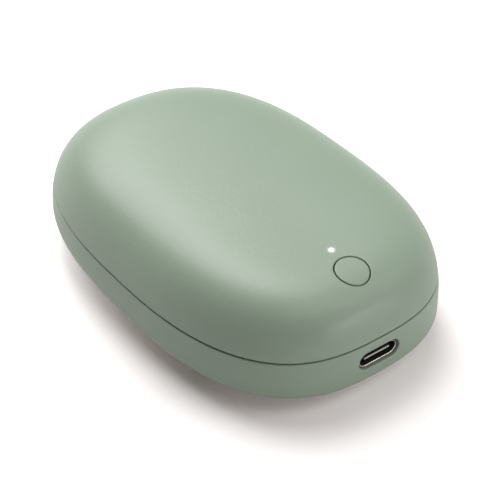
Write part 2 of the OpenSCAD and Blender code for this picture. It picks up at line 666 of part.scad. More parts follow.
// Cells with their sealed ends, and the protection board across them
cell_corner = 2.5;
module cell(z) {
    translate([cell_front - cell_length / 2, 0, z])
        rounded_plate(cell_length, cell_width, cell_thick, cell_corner);
    translate([cell_front - cell_corner, cell_corner - cell_width / 2, z + (cell_thick - sealed_thick) / 2])
        cube([sealed_end + cell_corner - seat, cell_width - 2 * cell_corner, sealed_thick]);
}
module lower_cell() color([0.78, 0.79, 0.8]) cell(cell_z);
module upper_cell() color([0.78, 0.79, 0.8]) cell(cell_z + cell_thick + seat);
guard_x = cell_front + sealed_end;
guard_height_share = 1.4;
guard_z = cell_z + cell_thick / 3;
module protection_board() color([0.1, 0.3, 0.2])
    translate([guard_x, -guard_half, guard_z])
        cube([guard_thick, 2 * guard_half, guard_height_share * cell_thick]);

// Two leads that rise over the board's edge and come down on it
lead_radius = 0.55;
lead_half_gap = 2.5;
lead_sides = 8;
lead_inset = 1.6;
lead_height = 2.4;
lead_straight = 0.3;
function lead_section() = [for (i = [0:lead_sides - 1])
    lead_radius * [cos(i * 360 / lead_sides), sin(i * 360 / lead_sides)]];
module battery_leads() color([0.75, 0.12, 0.1]) for (side = [-1, 1]) {
    from = [guard_x + guard_thick + seat, side * lead_half_gap, lead_level];
    to = [board_start + lead_inset, side * lead_half_gap, board_top + seat];
    rise = [0, 0, lead_height];
    out = [lead_straight, 0, 0];
    up = [0, 0, lead_straight];
    over = from + [lead_height, 0, 0] + rise / 4;
    sweep(concat([from], bend_path(from + out, over, to + rise, to + up), [to]), lead_section());
}

// Heaters: plate, film and foam behind each cover share one grid of cells
plate_columns = 9;
plate_rows = 8;
plate_length = cell_back + board_start + plate_lead;
plate_width = cell_width + 2 * plate_margin;
column = plate_length / plate_columns;
row = plate_width / plate_rows;
function column_x(i) = -cell_back + i * column;
film_first = 1;
film_last = plate_columns;
foam_last = film_last - 1;
function under_cover(d) = function(x, y) upper_z(x, y, wall) - heater_gap - d;
function over_floor(d) = function(x, y) lower_z(x, y, wall) + heater_gap + d;
film_half = plate_width / 2 - row;
function tail_section() = [[-film_thick / 2, -tail_width / 2], [film_thick / 2, -tail_width / 2],
    [film_thick / 2, tail_width / 2], [-film_thick / 2, tail_width / 2]];
tail_end = film_socket_x + film_socket.x / 4;
tail_reach = 3 * film_socket.x;
tail_straight = 1.2;
module upper_heat_plate() color([0.8, 0.81, 0.82])
    sheet(column_x(0), column_x(plate_columns), -plate_width / 2, plate_width / 2, plate_columns, plate_rows,
        under_cover(plate_thick), under_cover(0));
module lower_heat_plate() color([0.8, 0.81, 0.82])
    film_sheet(over_floor(0), over_floor(plate_thick));
module film_sheet(low, high) sheet(column_x(film_first), column_x(film_last), -film_half, film_half,
    film_last - film_first, plate_rows - 2, low, high);
module film_tail(from_z, to_z) {
    from = [column_x(film_last) - seat, tail_y, from_z];
    to = [tail_end, tail_y, to_z];
    path = concat([from], bend_path(from + [tail_straight, 0, 0], from + [tail_reach, 0, 0],
        to + [tail_reach, 0, 0], to + [tail_straight, 0, 0]), [to]);
    sweep(path, tail_section());
}
module upper_heating_film() color([0.85, 0.55, 0.15]) {
    film_sheet(under_cover(plate_thick + film_thick), under_cover(plate_thick));
    film_tail(upper_z(column_x(film_last), tail_y, wall) - heater_gap - plate_thick - film_thick / 2,
        board_top + seat + film_socket.z / 2);
}
module lower_heating_film() color([0.85, 0.55, 0.15]) {
    film_sheet(over_floor(plate_thick), over_floor(plate_thick + film_thick));
    film_tail(lower_z(column_x(film_last), tail_y, wall) + heater_gap + plate_thick + film_thick / 2,
        board_z - seat - film_socket.z / 2);
}
bead = [1.6, 0.8, 0.5];
bead_x = column_x((foam_last + film_last) / 2);
module film_thermistors() color([0.15, 0.15, 0.16]) {
    translate([bead_x - bead.x / 2, -bead.y / 2,
        under_cover(plate_thick + film_thick)(bead_x + bead.x, bead.y) - seat - bead.z]) cube(bead);
    translate([bead_x - bead.x / 2, -bead.y / 2,
        over_floor(plate_thick + film_thick)(bead_x + bead.x, bead.y) + seat]) cube(bead);
}
module foam_sheet(low, high) sheet(column_x(film_first), column_x(foam_last), -film_half, film_half,
    foam_last - film_first, plate_rows - 2, low, high);
module upper_insulation() color([0.3, 0.3, 0.31])
    foam_sheet(function(x, y) cells_top + seat, under_cover(plate_thick + film_thick));
module lower_insulation() color([0.3, 0.3, 0.31])
    foam_sheet(over_floor(plate_thick + film_thick), function(x, y) frame_z - seat);

upper_cover();
lower_cover();
power_button();
light_pipe();
status_led();
mid_frame();
frame_screws();
main_board();
board_screws();
usb_shell();
usb_tongue();
usb_contacts();
switch_body();
switch_cover();
switch_plunger();
power_inductor();
charge_chip();
controller_chip();
board_capacitors();
film_sockets();
lower_cell();
upper_cell();
protection_board();
battery_leads();
upper_heat_plate();
lower_heat_plate();
upper_heating_film();
lower_heating_film();
film_thermistors();
upper_insulation();
lower_insulation();
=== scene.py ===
import math

import bmesh
import bpy
import numpy as np
from mathutils import Matrix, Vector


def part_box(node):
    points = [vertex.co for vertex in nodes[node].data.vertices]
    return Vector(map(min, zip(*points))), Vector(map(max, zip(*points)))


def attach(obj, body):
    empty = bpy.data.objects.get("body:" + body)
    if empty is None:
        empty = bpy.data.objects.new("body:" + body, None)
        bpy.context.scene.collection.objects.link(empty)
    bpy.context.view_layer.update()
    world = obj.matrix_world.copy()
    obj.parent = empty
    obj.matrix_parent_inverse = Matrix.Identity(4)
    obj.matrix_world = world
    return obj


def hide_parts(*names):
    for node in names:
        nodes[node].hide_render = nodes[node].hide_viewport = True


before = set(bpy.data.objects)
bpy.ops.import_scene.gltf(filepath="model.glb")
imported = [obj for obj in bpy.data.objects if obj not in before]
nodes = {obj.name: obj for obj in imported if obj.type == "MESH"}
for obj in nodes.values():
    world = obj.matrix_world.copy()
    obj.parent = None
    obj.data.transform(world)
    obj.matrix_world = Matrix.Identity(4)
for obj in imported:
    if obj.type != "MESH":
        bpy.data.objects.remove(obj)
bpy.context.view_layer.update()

# Camera: it stands off the socket end, above and to one side, and looks down past the key along the
# long axis. Its lens is a long one, as for small goods on a table, so the far end hardly shrinks.
azimuth, elevation = math.radians(52.925), math.radians(39.176)
distance, aside, raised = 0.330846, 0.002928, -0.002725
widest = 0.0088
back = np.array([math.sin(azimuth) * math.cos(elevation), -math.cos(azimuth) * math.cos(elevation),
                 math.sin(elevation)])
right = np.array([math.cos(azimuth), math.sin(azimuth), 0.0])
up = np.cross(back, right)
camera_data = bpy.data.cameras.new("camera")
camera_data.sensor_width = 36.0
camera_data.lens = 117.132
camera_data.clip_start = 0.01
camera = bpy.data.objects.new("camera", camera_data)
place = np.array([0.0, 0.0, widest]) + back * distance + right * aside + up * raised
camera.matrix_world = Matrix([[right[k], up[k], back[k], place[k]] for k in range(3)] + [[0, 0, 0, 1]])
bpy.context.scene.collection.objects.link(camera)
bpy.context.scene.camera = camera

# Lower cover: the bottom half of the pebble, moulded in ABS and sprayed with a soft-touch lacquer.
# Its rim has a rebate for the upper cover's lip, and its end wall has the socket's round-ended opening.
half_length, half_width = 0.045, 0.0301
crown_height, wall = 0.0173, 0.0018
lower_rim, rim_round = 0.01325, 0.0002
rebate_inset, rebate_floor = 0.00075, 0.0115
base_flat, end_drop, base_power = 0.00035, 0.0033, 3.2
far_power, power_rise, egg = 2.42, 0.16, 0.013
far_shoulder, shoulder_gain, far_fall, fall_gain = 5.6, 10.4, 0.0013, 0.0017
columns = 384
angles = -math.pi + np.arange(columns) * 2 * math.pi / columns
middle = columns // 2
level_drop = end_drop * ((1 + np.cos(angles)) / 2) ** 2


def outline(angle, inset=0.0):
    """Rounded oval at an angle: |x|^n + |y|^n = 1, with n from 2.42 at the far end to 2.74 at the socket
    end, made 1.3 % wider toward the socket and as much narrower toward the far end, times the half sizes
    less the inset."""
    c, s = np.cos(angle), np.sin(angle)
    power = far_power + power_rise * (1 + c)
    reach = (np.abs(c) ** power + np.abs(s) ** power) ** (-1 / power)
    x, y = c * reach, s * reach
    return x * (half_length - inset), y * (1 + egg * x) * (half_width - inset)


def profile(c):
    """Squareness of the crown's profile and fall of its dome in the direction whose cosine is c: both change
    toward the socket end with the sixth power of (1 + c) / 2."""
    toward = ((1 + c) / 2) ** 6
    return far_shoulder + shoulder_gain * toward, far_fall + fall_gain * toward


def side_share(z, inset, c):
    """Share w of the outline that is left at a height. The crown stands (H - fall w^2) times the root of
    1 - w^power over the widest level, and w is found by trying the last value again. It is 1 below."""
    power, fall = profile(c)
    rise = np.maximum(z - widest, 0)
    share = np.ones_like(power * rise)
    for _ in range(12):
        share = (1 - (rise / (crown_height - inset - fall * share ** 2)) ** 2) ** (1 / power)
    return share


def side_rows(heights, insets):
    """Rings of the side wall, one for each pair of height and inset, over all angles."""
    rows = []
    for z, inset in zip(heights, insets):
        x, y = outline(angles, inset)
        share = side_share(z, inset, np.cos(angles))
        rows.append(np.stack([x * share, y * share, np.full(columns, z)], -1))
    return np.array(rows)


def base_rows(turns, inset, depth):
    """Rings of the round base: with t the share of the way to each angle's last turn, the outline shrinks
    by cos(t)^(2 / base power) while the height falls by sin(t) from the widest level, which is itself
    dropped toward the socket."""
    x, y = outline(angles, inset)
    last = math.pi / 2
    if depth > widest:
        last = np.arcsin(np.clip((widest - level_drop) / (depth - level_drop), -1, 1))
    t = turns[:, None] * last
    share = np.cos(t) ** (2 / base_power)
    share[np.abs(share) < 1e-6] = 0
    return np.stack([x * share, y * share, widest - level_drop - (depth - level_drop) * np.sin(t)], -1)


def drop_rows(steps, inset):
    """Rings of the upright band between the widest level and the same level dropped toward the socket."""
    x, y = outline(angles, inset)
    share = steps[:, None]
    return np.stack([x + 0 * share, y + 0 * share, widest - level_drop * share], -1)


def window_rim(grid, top, bottom, left, right_end):
    """Loop of grid points round a window: top row, right column, bottom row, left column."""
    return np.concatenate([grid[top, left:right_end], grid[top:bottom, right_end],
                           grid[bottom, right_end:left:-1], grid[bottom:top:-1, left]])


def opening(direction, half_straight, radius):
    """Point of a round-ended slot in a direction from its middle: on its straight side where the ray meets
    it within the half length, otherwise on the end circle. A half length of 0 gives a circle."""
    c, s = np.cos(direction), np.sin(direction)
    flat = radius / np.maximum(np.abs(s), 1e-9)
    root = np.sqrt(np.maximum(radius ** 2 - (half_straight * s) ** 2, 0))
    reach = np.where(np.abs(flat * c) <= half_straight, flat, half_straight * np.abs(c) + root)
    return reach * c, reach * s


def patch(loop, directions, middle_p, middle_q, half_straight, radius, edge, axis, surface, depth_sign):
    """Rings from a window's loop in to a rounded opening: they shrink evenly over the surface to the
    opening's edge, then roll over it on a quarter circle. The two flat axes are p and q, the surface
    function gives the height along the third, and the depth's sign says which way along it is inward."""
    flat = [k for k in range(3) if k != axis]
    rings = [loop]
    p0, q0 = loop[:, flat[0]], loop[:, flat[1]]
    p1, q1 = opening(directions, half_straight, radius + edge)
    for share in np.linspace(0, 1, 8)[1:] ** 0.8:
        p = p0 * (1 - share) + (middle_p + p1) * share
        q = q0 * (1 - share) + (middle_q + q1) * share
        ring = np.empty_like(loop)
        ring[:, flat[0]], ring[:, flat[1]], ring[:, axis] = p, q, surface(p, q)
        rings.append(ring)
    for turn in (np.radians([22.5, 45, 67.5, 90]) if edge > 0 else []):
        p, q = opening(directions, half_straight, radius + edge * (1 - math.sin(turn)))
        ring = np.empty_like(loop)
        ring[:, flat[0]], ring[:, flat[1]] = middle_p + p, middle_q + q
        ring[:, axis] = surface(middle_p + p, middle_q + q) + depth_sign * edge * (1 - math.cos(turn))
        rings.append(ring)
    return np.array(rings)


def cells(grid, closed=True, window=None):
    """Vertices and quads of a grid of points, joined round if closed, less the cells of a window."""
    rows, count = grid.shape[:2]
    j, i = np.mgrid[0:rows - 1, 0:count if closed else count - 1]
    if window:
        top, bottom, left, right_end = window
        keep = (j < top) | (j >= bottom) | (i < left) | (i >= right_end)
        j, i = j[keep], i[keep]
    j, i = j.ravel(), i.ravel()
    n = (i + 1) % count
    return grid.reshape(-1, 3), np.stack([j * count + i, j * count + n, (j + 1) * count + n,
                                          (j + 1) * count + i], -1)


def weld(name, parts, sharp=40):
    """Object made of several grids: their common edges are merged, their faces turned outward and shaded
    smooth up to the sharp angle."""
    points, quads, start = [], [], 0
    for p, q in parts:
        points.append(p)
        quads.append(q + start)
        start += len(p)
    mesh = bpy.data.meshes.new(name)
    mesh.from_pydata(np.concatenate(points).tolist(), [], np.concatenate(quads).tolist())
    work = bmesh.new()
    work.from_mesh(mesh)
    bmesh.ops.remove_doubles(work, verts=work.verts, dist=1e-6)
    bmesh.ops.dissolve_degenerate(work, edges=work.edges, dist=1e-7)
    bmesh.ops.recalc_face_normals(work, faces=work.faces)
    work.to_mesh(mesh)
    work.free()
    mesh.polygons.foreach_set("use_smooth", np.ones(len(mesh.polygons), bool))
    mesh.set_sharp_from_angle(angle=math.radians(sharp))
    piece = bpy.data.objects.new(name, mesh)
    bpy.context.scene.collection.objects.link(piece)
    return piece


def side_x(inset):
    """Surface function of the end wall: x where the side at that inset passes a given y and height. The
    angle is looked up on the outline, drawn in to its share at the height, and looked up again there."""
    table = np.linspace(-0.6, 0.6, 2401)
    table_y = outline(table, inset)[1]

    def find(y, z):
        """x of the end wall at a given y and height."""
        angle = np.zeros_like(y)
        for _ in range(6):
            share = side_share(z, inset, np.cos(angle))
            angle = np.interp(y / share, table_y, table)
        return outline(angle, inset)[0] * share
    return find


socket_height, socket_half, socket_radius = 0.0093, 0.00289, 0.00158
opening_half, opening_radius, opening_edge = 0.00281, 0.00202, 0.00028
outer = np.concatenate([
    side_rows(np.linspace(lower_rim - rim_round, widest, 13), np.zeros(13)),
    drop_rows(np.linspace(0, 1, 11)[1:], 0.0), base_rows(np.linspace(0, 1, 31)[1:], 0.0, widest + base_flat)])
base_edge = outer[-1]
flat_face = np.array([base_edge * [s, s, 1] for s in np.linspace(1, 0, 9)])
inner = np.concatenate([
    side_rows(np.linspace(rebate_floor, widest, 9), np.full(9, wall)),
    drop_rows(np.linspace(0, 1, 13)[1:], wall), base_rows(np.linspace(0, 1, 25)[1:], wall, widest - wall)])
roll = np.radians(np.linspace(0, 90, 6))
catch_turns = np.radians([50, 90, 130, 180, 230, 270, 310])
catch_level, catch_half = 0.012425, 0.0021
pocket_reach, pocket_half, pocket_lead = 0.00045, 0.0004, 0.00042
outline_x, outline_y = outline(angles)
catch_x, catch_y = outline(catch_turns)
near_catch = np.hypot(outline_x[:, None] - catch_x, outline_y[:, None] - catch_y).min(1) <= catch_half
pocket_inset = np.where(near_catch, pocket_reach, rebate_inset)
rim = side_rows(
    np.concatenate([lower_rim - rim_round * (1 - np.sin(roll)),
                    [lower_rim, catch_level + pocket_lead, catch_level + pocket_half,
                     catch_level - pocket_half, catch_level - pocket_lead, rebate_floor, rebate_floor]]),
    [*(rim_round * (1 - np.cos(roll))), rebate_inset, rebate_inset, pocket_inset, pocket_inset, rebate_inset,
     rebate_inset, wall])
port_window = (2, 20, middle - 14, middle + 14)
port_loop = window_rim(outer, *port_window)
port_directions = np.arctan2(port_loop[:, 2] - socket_height, port_loop[:, 1])
inner_window = (0, 18, middle - 14, middle + 14)
port_outside = patch(port_loop, port_directions, 0.0, socket_height, opening_half, opening_radius,
                     opening_edge, 0, side_x(0.0), -1)
port_inside = patch(window_rim(inner, *inner_window), port_directions, 0.0, socket_height, opening_half,
                    opening_radius, 0.0, 0, side_x(wall), 1)
tunnel = np.array([port_outside[-1] * (1 - s) + port_inside[-1] * s for s in np.linspace(0, 1, 5)])


def lathe(x, y, points, segments=32):
    """Turned solid about an upright axis: each point of its edge is (radius, height), from pole to pole."""
    turn = np.arange(segments) * 2 * math.pi / segments
    points = np.array(points)
    radius, height = points[:, :1], points[:, 1:]
    return np.stack([x + radius * np.cos(turn), y + radius * np.sin(turn), height + 0 * turn], -1)


def block(centre, size, turn=0.0, soften=0.12):
    """Moulded block: a rounded rectangle with drawn-in first and last rings, closed at both poles."""
    half = np.array(size) / 2
    corner = soften * half[:2].min()
    quarter = np.radians(np.linspace(0, 90, 4))
    spots = np.concatenate([np.tile([sx, sy], (4, 1)) for sx, sy in [(1, 1), (-1, 1), (-1, -1), (1, -1)]])
    round_out = np.concatenate([np.stack([np.cos(q), np.sin(q)], -1)
                                for q in [quarter + k * math.pi / 2 for k in range(4)]])
    spin = np.array([[math.cos(turn), -math.sin(turn)], [math.sin(turn), math.cos(turn)]])
    rings = []
    for scale, keep, z in [(0, 0, -half[2]), (1, 0.1, -half[2]), (1, 1, -half[2] + corner),
                           (1, 1, half[2] - corner), (1, 0.1, half[2]), (0, 0, half[2])]:
        flat = (spots * (half[:2] - corner) * scale + round_out * corner * keep) @ spin.T
        rings.append(np.column_stack([flat + np.array(centre[:2]), np.full(len(flat), centre[2] + z)]))
    return np.array(rings)


post_radius, post_foot, frame_floor = 0.0018, 0.0024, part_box("mid_frame")[0].z
post_edge = [(0, post_foot), (post_radius, post_foot), (post_radius, frame_floor - 0.0002),
             (post_radius - 0.0002, frame_floor - 0.00002), (0, frame_floor - 0.00002)]
lower_posts = [lathe(x, side * y, post_edge)
               for x, y in [(-0.031, 0.010), (0.0335, 0.012)] for side in (-1, 1)]
socket_cradle = block((0.0417, 0.0, 0.00565), (0.0015, 0.007, 0.0041))
lower_cover = weld("moulded_lower_cover", [
    cells(outer, window=port_window), cells(flat_face), cells(inner, window=inner_window), cells(rim),
    cells(port_outside), cells(port_inside), cells(tunnel), cells(socket_cradle)]
    + [cells(post) for post in lower_posts])


def soft_touch(name, colour, seed):
    """Soft-touch lacquer: a satin coat over a very fine grain, with faint clouds in its tone and gloss. It
    reflects less where it is seen edge-on."""
    material = bpy.data.materials.new(name)
    material.use_nodes = True
    tree = material.node_tree
    shader = tree.nodes["Principled BSDF"]
    edge_on = tree.nodes.new("ShaderNodeLayerWeight")
    sheen = tree.nodes.new("ShaderNodeMapRange")
    sheen.inputs["From Min"].default_value = 0.35
    sheen.inputs["From Max"].default_value = 0.9
    sheen.inputs["To Min"].default_value = 0.42
    sheen.inputs["To Max"].default_value = 0.08
    place = tree.nodes.new("ShaderNodeTexCoord")
    clouds = tree.nodes.new("ShaderNodeTexNoise")
    clouds.noise_dimensions = "4D"
    clouds.inputs["W"].default_value = seed
    clouds.inputs["Scale"].default_value = 90.0
    clouds.inputs["Detail"].default_value = 3.0
    tone = tree.nodes.new("ShaderNodeMixRGB")
    tone.inputs["Color1"].default_value = (*[c * 0.97 for c in colour], 1)
    tone.inputs["Color2"].default_value = (*[c * 1.03 for c in colour], 1)
    gloss = tree.nodes.new("ShaderNodeMapRange")
    gloss.inputs["To Min"].default_value = 0.37
    gloss.inputs["To Max"].default_value = 0.42
    grain = tree.nodes.new("ShaderNodeTexNoise")
    grain.inputs["Scale"].default_value = 1400.0
    grain.inputs["Detail"].default_value = 4.0
    bump = tree.nodes.new("ShaderNodeBump")
    bump.inputs["Strength"].default_value = 0.14
    bump.inputs["Distance"].default_value = 0.0003
    link = tree.links.new
    link(edge_on.outputs["Facing"], sheen.inputs["Value"])
    link(sheen.outputs["Result"], shader.inputs["Specular IOR Level"])
    link(place.outputs["Object"], clouds.inputs["Vector"])
    link(place.outputs["Object"], grain.inputs["Vector"])
    link(clouds.outputs["Fac"], tone.inputs["Fac"])
    link(clouds.outputs["Fac"], gloss.inputs["Value"])
    link(tone.outputs["Color"], shader.inputs["Base Color"])
    link(gloss.outputs["Result"], shader.inputs["Roughness"])
    link(grain.outputs["Fac"], bump.inputs["Height"])
    link(bump.outputs["Normal"], shader.inputs["Normal"])
    return material


sage = (0.243, 0.31, 0.234)
lower_cover.data.materials.append(soft_touch("soft_touch_lower", sage, 1.0))
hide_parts("lower_cover")
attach(lower_cover, "housing")

# Charging socket: a stamped and rolled stainless shell, thinned to a lead-in at its mouth, round a black
# moulding that carries the tongue, with the steel middle plate bare along the tongue's front edge and gold
# contacts on its faces. Its mouth stands just inside the opening in the lower cover. A black sleeve over the
# shell's steel inside, out to the lead-in, is painted shade that keeps the socket dark inside.
mouth_x, shell_length, shell_wall, shell_width = 0.04434, 0.00719, 0.0003, 0.00894
shell_back, shell_inside = mouth_x - shell_length, socket_radius - shell_wall
mouth_round, lead_in = 0.00007, 0.0006
leg_middle, leg_size = 0.01075, (0.0012, shell_wall, 0.0029)
slot_turn = np.arange(96) * 2 * math.pi / 96


def slot_rings(stations, half_straight):
    """Rings of a round-ended tube along X: each station is (x, radius of the round ends)."""
    rings = []
    for x, radius in stations:
        p, q = opening(slot_turn, half_straight, radius)
        rings.append(np.stack([np.full(len(p), x), p, socket_height + q], -1))
    return np.array(rings)


bend = np.radians(np.linspace(0, 180, 9))
shell_stations = ([(shell_back, shell_inside), (shell_back, socket_radius)]
                  + [(mouth_x - mouth_round + mouth_round * math.sin(t),
                      socket_radius - mouth_round + mouth_round * math.cos(t)) for t in bend]
                  + [(mouth_x - lead_in, shell_inside), (shell_back, shell_inside)])
shell_legs = [block((mouth_x - d, side * (shell_width - shell_wall) / 2, leg_middle), leg_size, soften=0.3)
              for d in (0.00304, 0.00584) for side in (-1, 1)]
socket_shell = weld("rolled_socket_shell", [cells(slot_rings(shell_stations, socket_half))]
                    + [cells(leg) for leg in shell_legs])
block_radius = shell_inside - 0.00002
tongue_start, tongue_end, tongue_half, tongue_thick = shell_back, 0.044, 0.0032, 0.0007
block_stations = [(tongue_start, 1e-7), (tongue_start, block_radius), (tongue_start + 0.0017, block_radius),
                  (tongue_start + 0.0018, block_radius - 0.0001), (tongue_start + 0.0018, 1e-7)]
tongue_block = slot_rings(block_stations, socket_half)
tongue_block[0] = tongue_block[0].mean(0)
tongue_block[-1] = tongue_block[-1].mean(0)
tongue = block((0, 0, 0), (tongue_thick, 2 * tongue_half, tongue_end - tongue_start - 0.001), soften=0.5)
tongue = np.stack([tongue[..., 2] + (tongue_end + tongue_start + 0.001) / 2, tongue[..., 1],
                   socket_height + tongue[..., 0]], -1)
# Painted shade: this black sleeve covers the shell's steel inside up to the lead-in, so that the socket shows
# dark inside.
painted_shade_sleeve = slot_rings([(tongue_start + 0.0019, 0.00118), (tongue_start + 0.0019, 0.00127),
                     (mouth_x - 0.00061, 0.00127), (mouth_x - 0.0001, 0.00142), (mouth_x - 0.0001, 0.00138),
                     (mouth_x - 0.0007, 0.00118), (tongue_start + 0.0019, 0.00118)], socket_half)
socket_tongue = weld("moulded_socket_tongue", [cells(tongue_block), cells(tongue), cells(painted_shade_sleeve)])


def metal(name, colour, roughness, grain_scale, stretch):
    """Worked metal: fine lines drawn out along one direction vary its gloss and give it a shallow bump."""
    material = bpy.data.materials.new(name)
    material.use_nodes = True
    tree = material.node_tree
    shader = tree.nodes["Principled BSDF"]
    shader.inputs["Metallic"].default_value = 1.0
    place = tree.nodes.new("ShaderNodeTexCoord")
    draw = tree.nodes.new("ShaderNodeMapping")
    draw.inputs["Scale"].default_value = stretch
    lines = tree.nodes.new("ShaderNodeTexNoise")
    lines.inputs["Scale"].default_value = grain_scale
    lines.inputs["Detail"].default_value = 3.0
    tone = tree.nodes.new("ShaderNodeMixRGB")
    tone.inputs["Color1"].default_value = (*[c * 0.9 for c in colour], 1)
    tone.inputs["Color2"].default_value = (*colour, 1)
    gloss = tree.nodes.new("ShaderNodeMapRange")
    gloss.inputs["To Min"].default_value = roughness * 0.8
    gloss.inputs["To Max"].default_value = roughness * 1.2
    bump = tree.nodes.new("ShaderNodeBump")
    bump.inputs["Strength"].default_value = 0.1
    bump.inputs["Distance"].default_value = 0.00005
    link = tree.links.new
    link(place.outputs["Object"], draw.inputs["Vector"])
    link(draw.outputs["Vector"], lines.inputs["Vector"])
    link(lines.outputs["Fac"], tone.inputs["Fac"])
    link(lines.outputs["Fac"], gloss.inputs["Value"])
    link(tone.outputs["Color"], shader.inputs["Base Color"])
    link(gloss.outputs["Result"], shader.inputs["Roughness"])
    link(lines.outputs["Fac"], bump.inputs["Height"])
    link(bump.outputs["Normal"], shader.inputs["Normal"])
    return material


def moulded(name, colour, roughness, grain_scale=900.0, strength=0.1):
    """Moulded plastic: an even fine spark-eroded grain, with the gloss a little uneven over it."""
    material = bpy.data.materials.new(name)
    material.use_nodes = True
    tree = material.node_tree
    shader = tree.nodes["Principled BSDF"]
    place = tree.nodes.new("ShaderNodeTexCoord")
    grain = tree.nodes.new("ShaderNodeTexNoise")
    grain.inputs["Scale"].default_value = grain_scale
    grain.inputs["Detail"].default_value = 3.0
    tone = tree.nodes.new("ShaderNodeMixRGB")
    tone.inputs["Color1"].default_value = (*[c * 0.85 for c in colour], 1)
    tone.inputs["Color2"].default_value = (*[min(1.0, c * 1.12) for c in colour], 1)
    gloss = tree.nodes.new("ShaderNodeMapRange")
    gloss.inputs["To Min"].default_value = roughness * 0.85
    gloss.inputs["To Max"].default_value = min(1.0, roughness * 1.15)
    bump = tree.nodes.new("ShaderNodeBump")
    bump.inputs["Strength"].default_value = strength
    bump.inputs["Distance"].default_value = 0.0001
    link = tree.links.new
    link(place.outputs["Object"], grain.inputs["Vector"])
    link(grain.outputs["Fac"], tone.inputs["Fac"])
    link(grain.outputs["Fac"], gloss.inputs["Value"])
    link(tone.outputs["Color"], shader.inputs["Base Color"])
    link(gloss.outputs["Result"], shader.inputs["Roughness"])
    link(grain.outputs["Fac"], bump.inputs["Height"])
    link(bump.outputs["Normal"], shader.inputs["Normal"])
    return material


def finish_node(name, material):
    """A CAD node whose own shape is right takes this material."""
    mesh = nodes[name].data
    mesh.materials.clear()
    mesh.materials.append(material)


stainless = metal("stainless_stamping", (0.72, 0.63, 0.60), 0.25, 900.0, (1, 6, 6))
socket_shell.data.materials.append(stainless)
# Black insulator for the tongue and its block; the same near-black with little gloss on the sleeve inside the
# shell is painted shade.
black_insulator_and_painted_shade = moulded("black_insulator_and_painted_shade", (0.006, 0.006, 0.006), 0.55)
black_insulator_and_painted_shade.node_tree.nodes["Principled BSDF"].inputs["Specular IOR Level"].default_value = 0.15
socket_tongue.data.materials.append(black_insulator_and_painted_shade)
socket_tongue.data.materials.append(metal("bare_plate_edge", (0.45, 0.44, 0.43), 0.4, 900.0, (1, 6, 6)))
centres = np.empty(3 * len(socket_tongue.data.polygons))
socket_tongue.data.polygons.foreach_get("center", centres)
centres = centres.reshape(-1, 3)
bare = ((centres[:, 0] > tongue_end - 0.00002) & (centres[:, 0] < tongue_end + 0.00002)
        & (np.abs(centres[:, 1]) < tongue_half) & (np.abs(centres[:, 2] - socket_height) < 0.0004))
socket_tongue.data.polygons.foreach_set("material_index", bare.astype(np.int32))
finish_node("usb_contacts", metal("gold_plating", (0.83, 0.6, 0.26), 0.25, 700.0, (1, 4, 4)))
for piece, node, slot in [(socket_shell, "usb_shell", "socket_steel"),
                          (socket_tongue, "usb_tongue", "socket_black")]:
    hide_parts(node)
    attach(piece, "housing")

# Inner frame and its screws: a dark moulded tray that holds the cells and carries the circuit board.
# Four plated screws go up through its ears into the upper cover, and two more hold the board to it.
finish_node("mid_frame", moulded("dark_frame_plastic", (0.05, 0.053, 0.057), 0.6, 1500.0))
plated_screw = metal("plated_screw_steel", (0.6, 0.6, 0.62), 0.3, 1200.0, (1, 1, 1))
for name in ("frame_screws", "board_screws"):
    finish_node(name, plated_screw)


# Circuit board and its parts: green solder mask over copper, with the chips, the coil, the ceramic
# capacitors, the push switch and the lamp soldered on top and a film socket on each face.
def solder_mask(name, colour):
    """Solder mask: thin straight runs of raised copper show as paler bands in a glossy green coat."""
    material = moulded(name, colour, 0.32, 1800.0, 0.03)
    tree = material.node_tree
    shader = tree.nodes["Principled BSDF"]
    place = next(n for n in tree.nodes if n.type == "TEX_COORD")
    tone = next(n for n in tree.nodes if n.type == "MIX_RGB")
    runs = tree.nodes.new("ShaderNodeTexBrick")
    runs.inputs["Scale"].default_value = 400.0
    runs.inputs["Mortar Size"].default_value = 0.035
    runs.inputs["Color1"].default_value = (*colour, 1)
    runs.inputs["Color2"].default_value = (*[c * 0.9 for c in colour], 1)
    runs.inputs["Mortar"].default_value = (colour[0] * 2.5, colour[1] * 1.6, colour[2] * 1.5, 1)
    blend = tree.nodes.new("ShaderNodeMixRGB")
    blend.inputs["Fac"].default_value = 0.7
    tree.links.new(place.outputs["Object"], runs.inputs["Vector"])
    tree.links.new(tone.outputs["Color"], blend.inputs["Color1"])
    tree.links.new(runs.outputs["Color"], blend.inputs["Color2"])
    tree.links.new(blend.outputs["Color"], shader.inputs["Base Color"])
    return material


finish_node("main_board", solder_mask("board_mask", (0.02, 0.16, 0.08)))
finish_node("protection_board", solder_mask("guard_mask", (0.02, 0.14, 0.07)))
finish_node("switch_body", moulded("switch_housing_plastic", (0.02, 0.02, 0.021), 0.5))
finish_node("switch_cover", metal("switch_plate_steel", (0.6, 0.6, 0.6), 0.3, 1000.0, (1, 8, 1)))
finish_node("switch_plunger", moulded("plunger_plastic", (0.8, 0.79, 0.74), 0.4))
finish_node("power_inductor", moulded("pressed_ferrite", (0.06, 0.06, 0.065), 0.7, 2500.0, 0.3))
for name in ("charge_chip", "controller_chip"):
    finish_node(name, moulded(name + "_resin", (0.018, 0.018, 0.019), 0.55, 2000.0, 0.2))
finish_node("board_capacitors", moulded("fired_ceramic", (0.42, 0.31, 0.19), 0.45, 1600.0, 0.1))
finish_node("film_sockets", moulded("film_socket_plastic", (0.8, 0.77, 0.68), 0.45))
finish_node("status_led", moulded("lamp_resin", (0.92, 0.9, 0.72), 0.25, 800.0, 0.02))

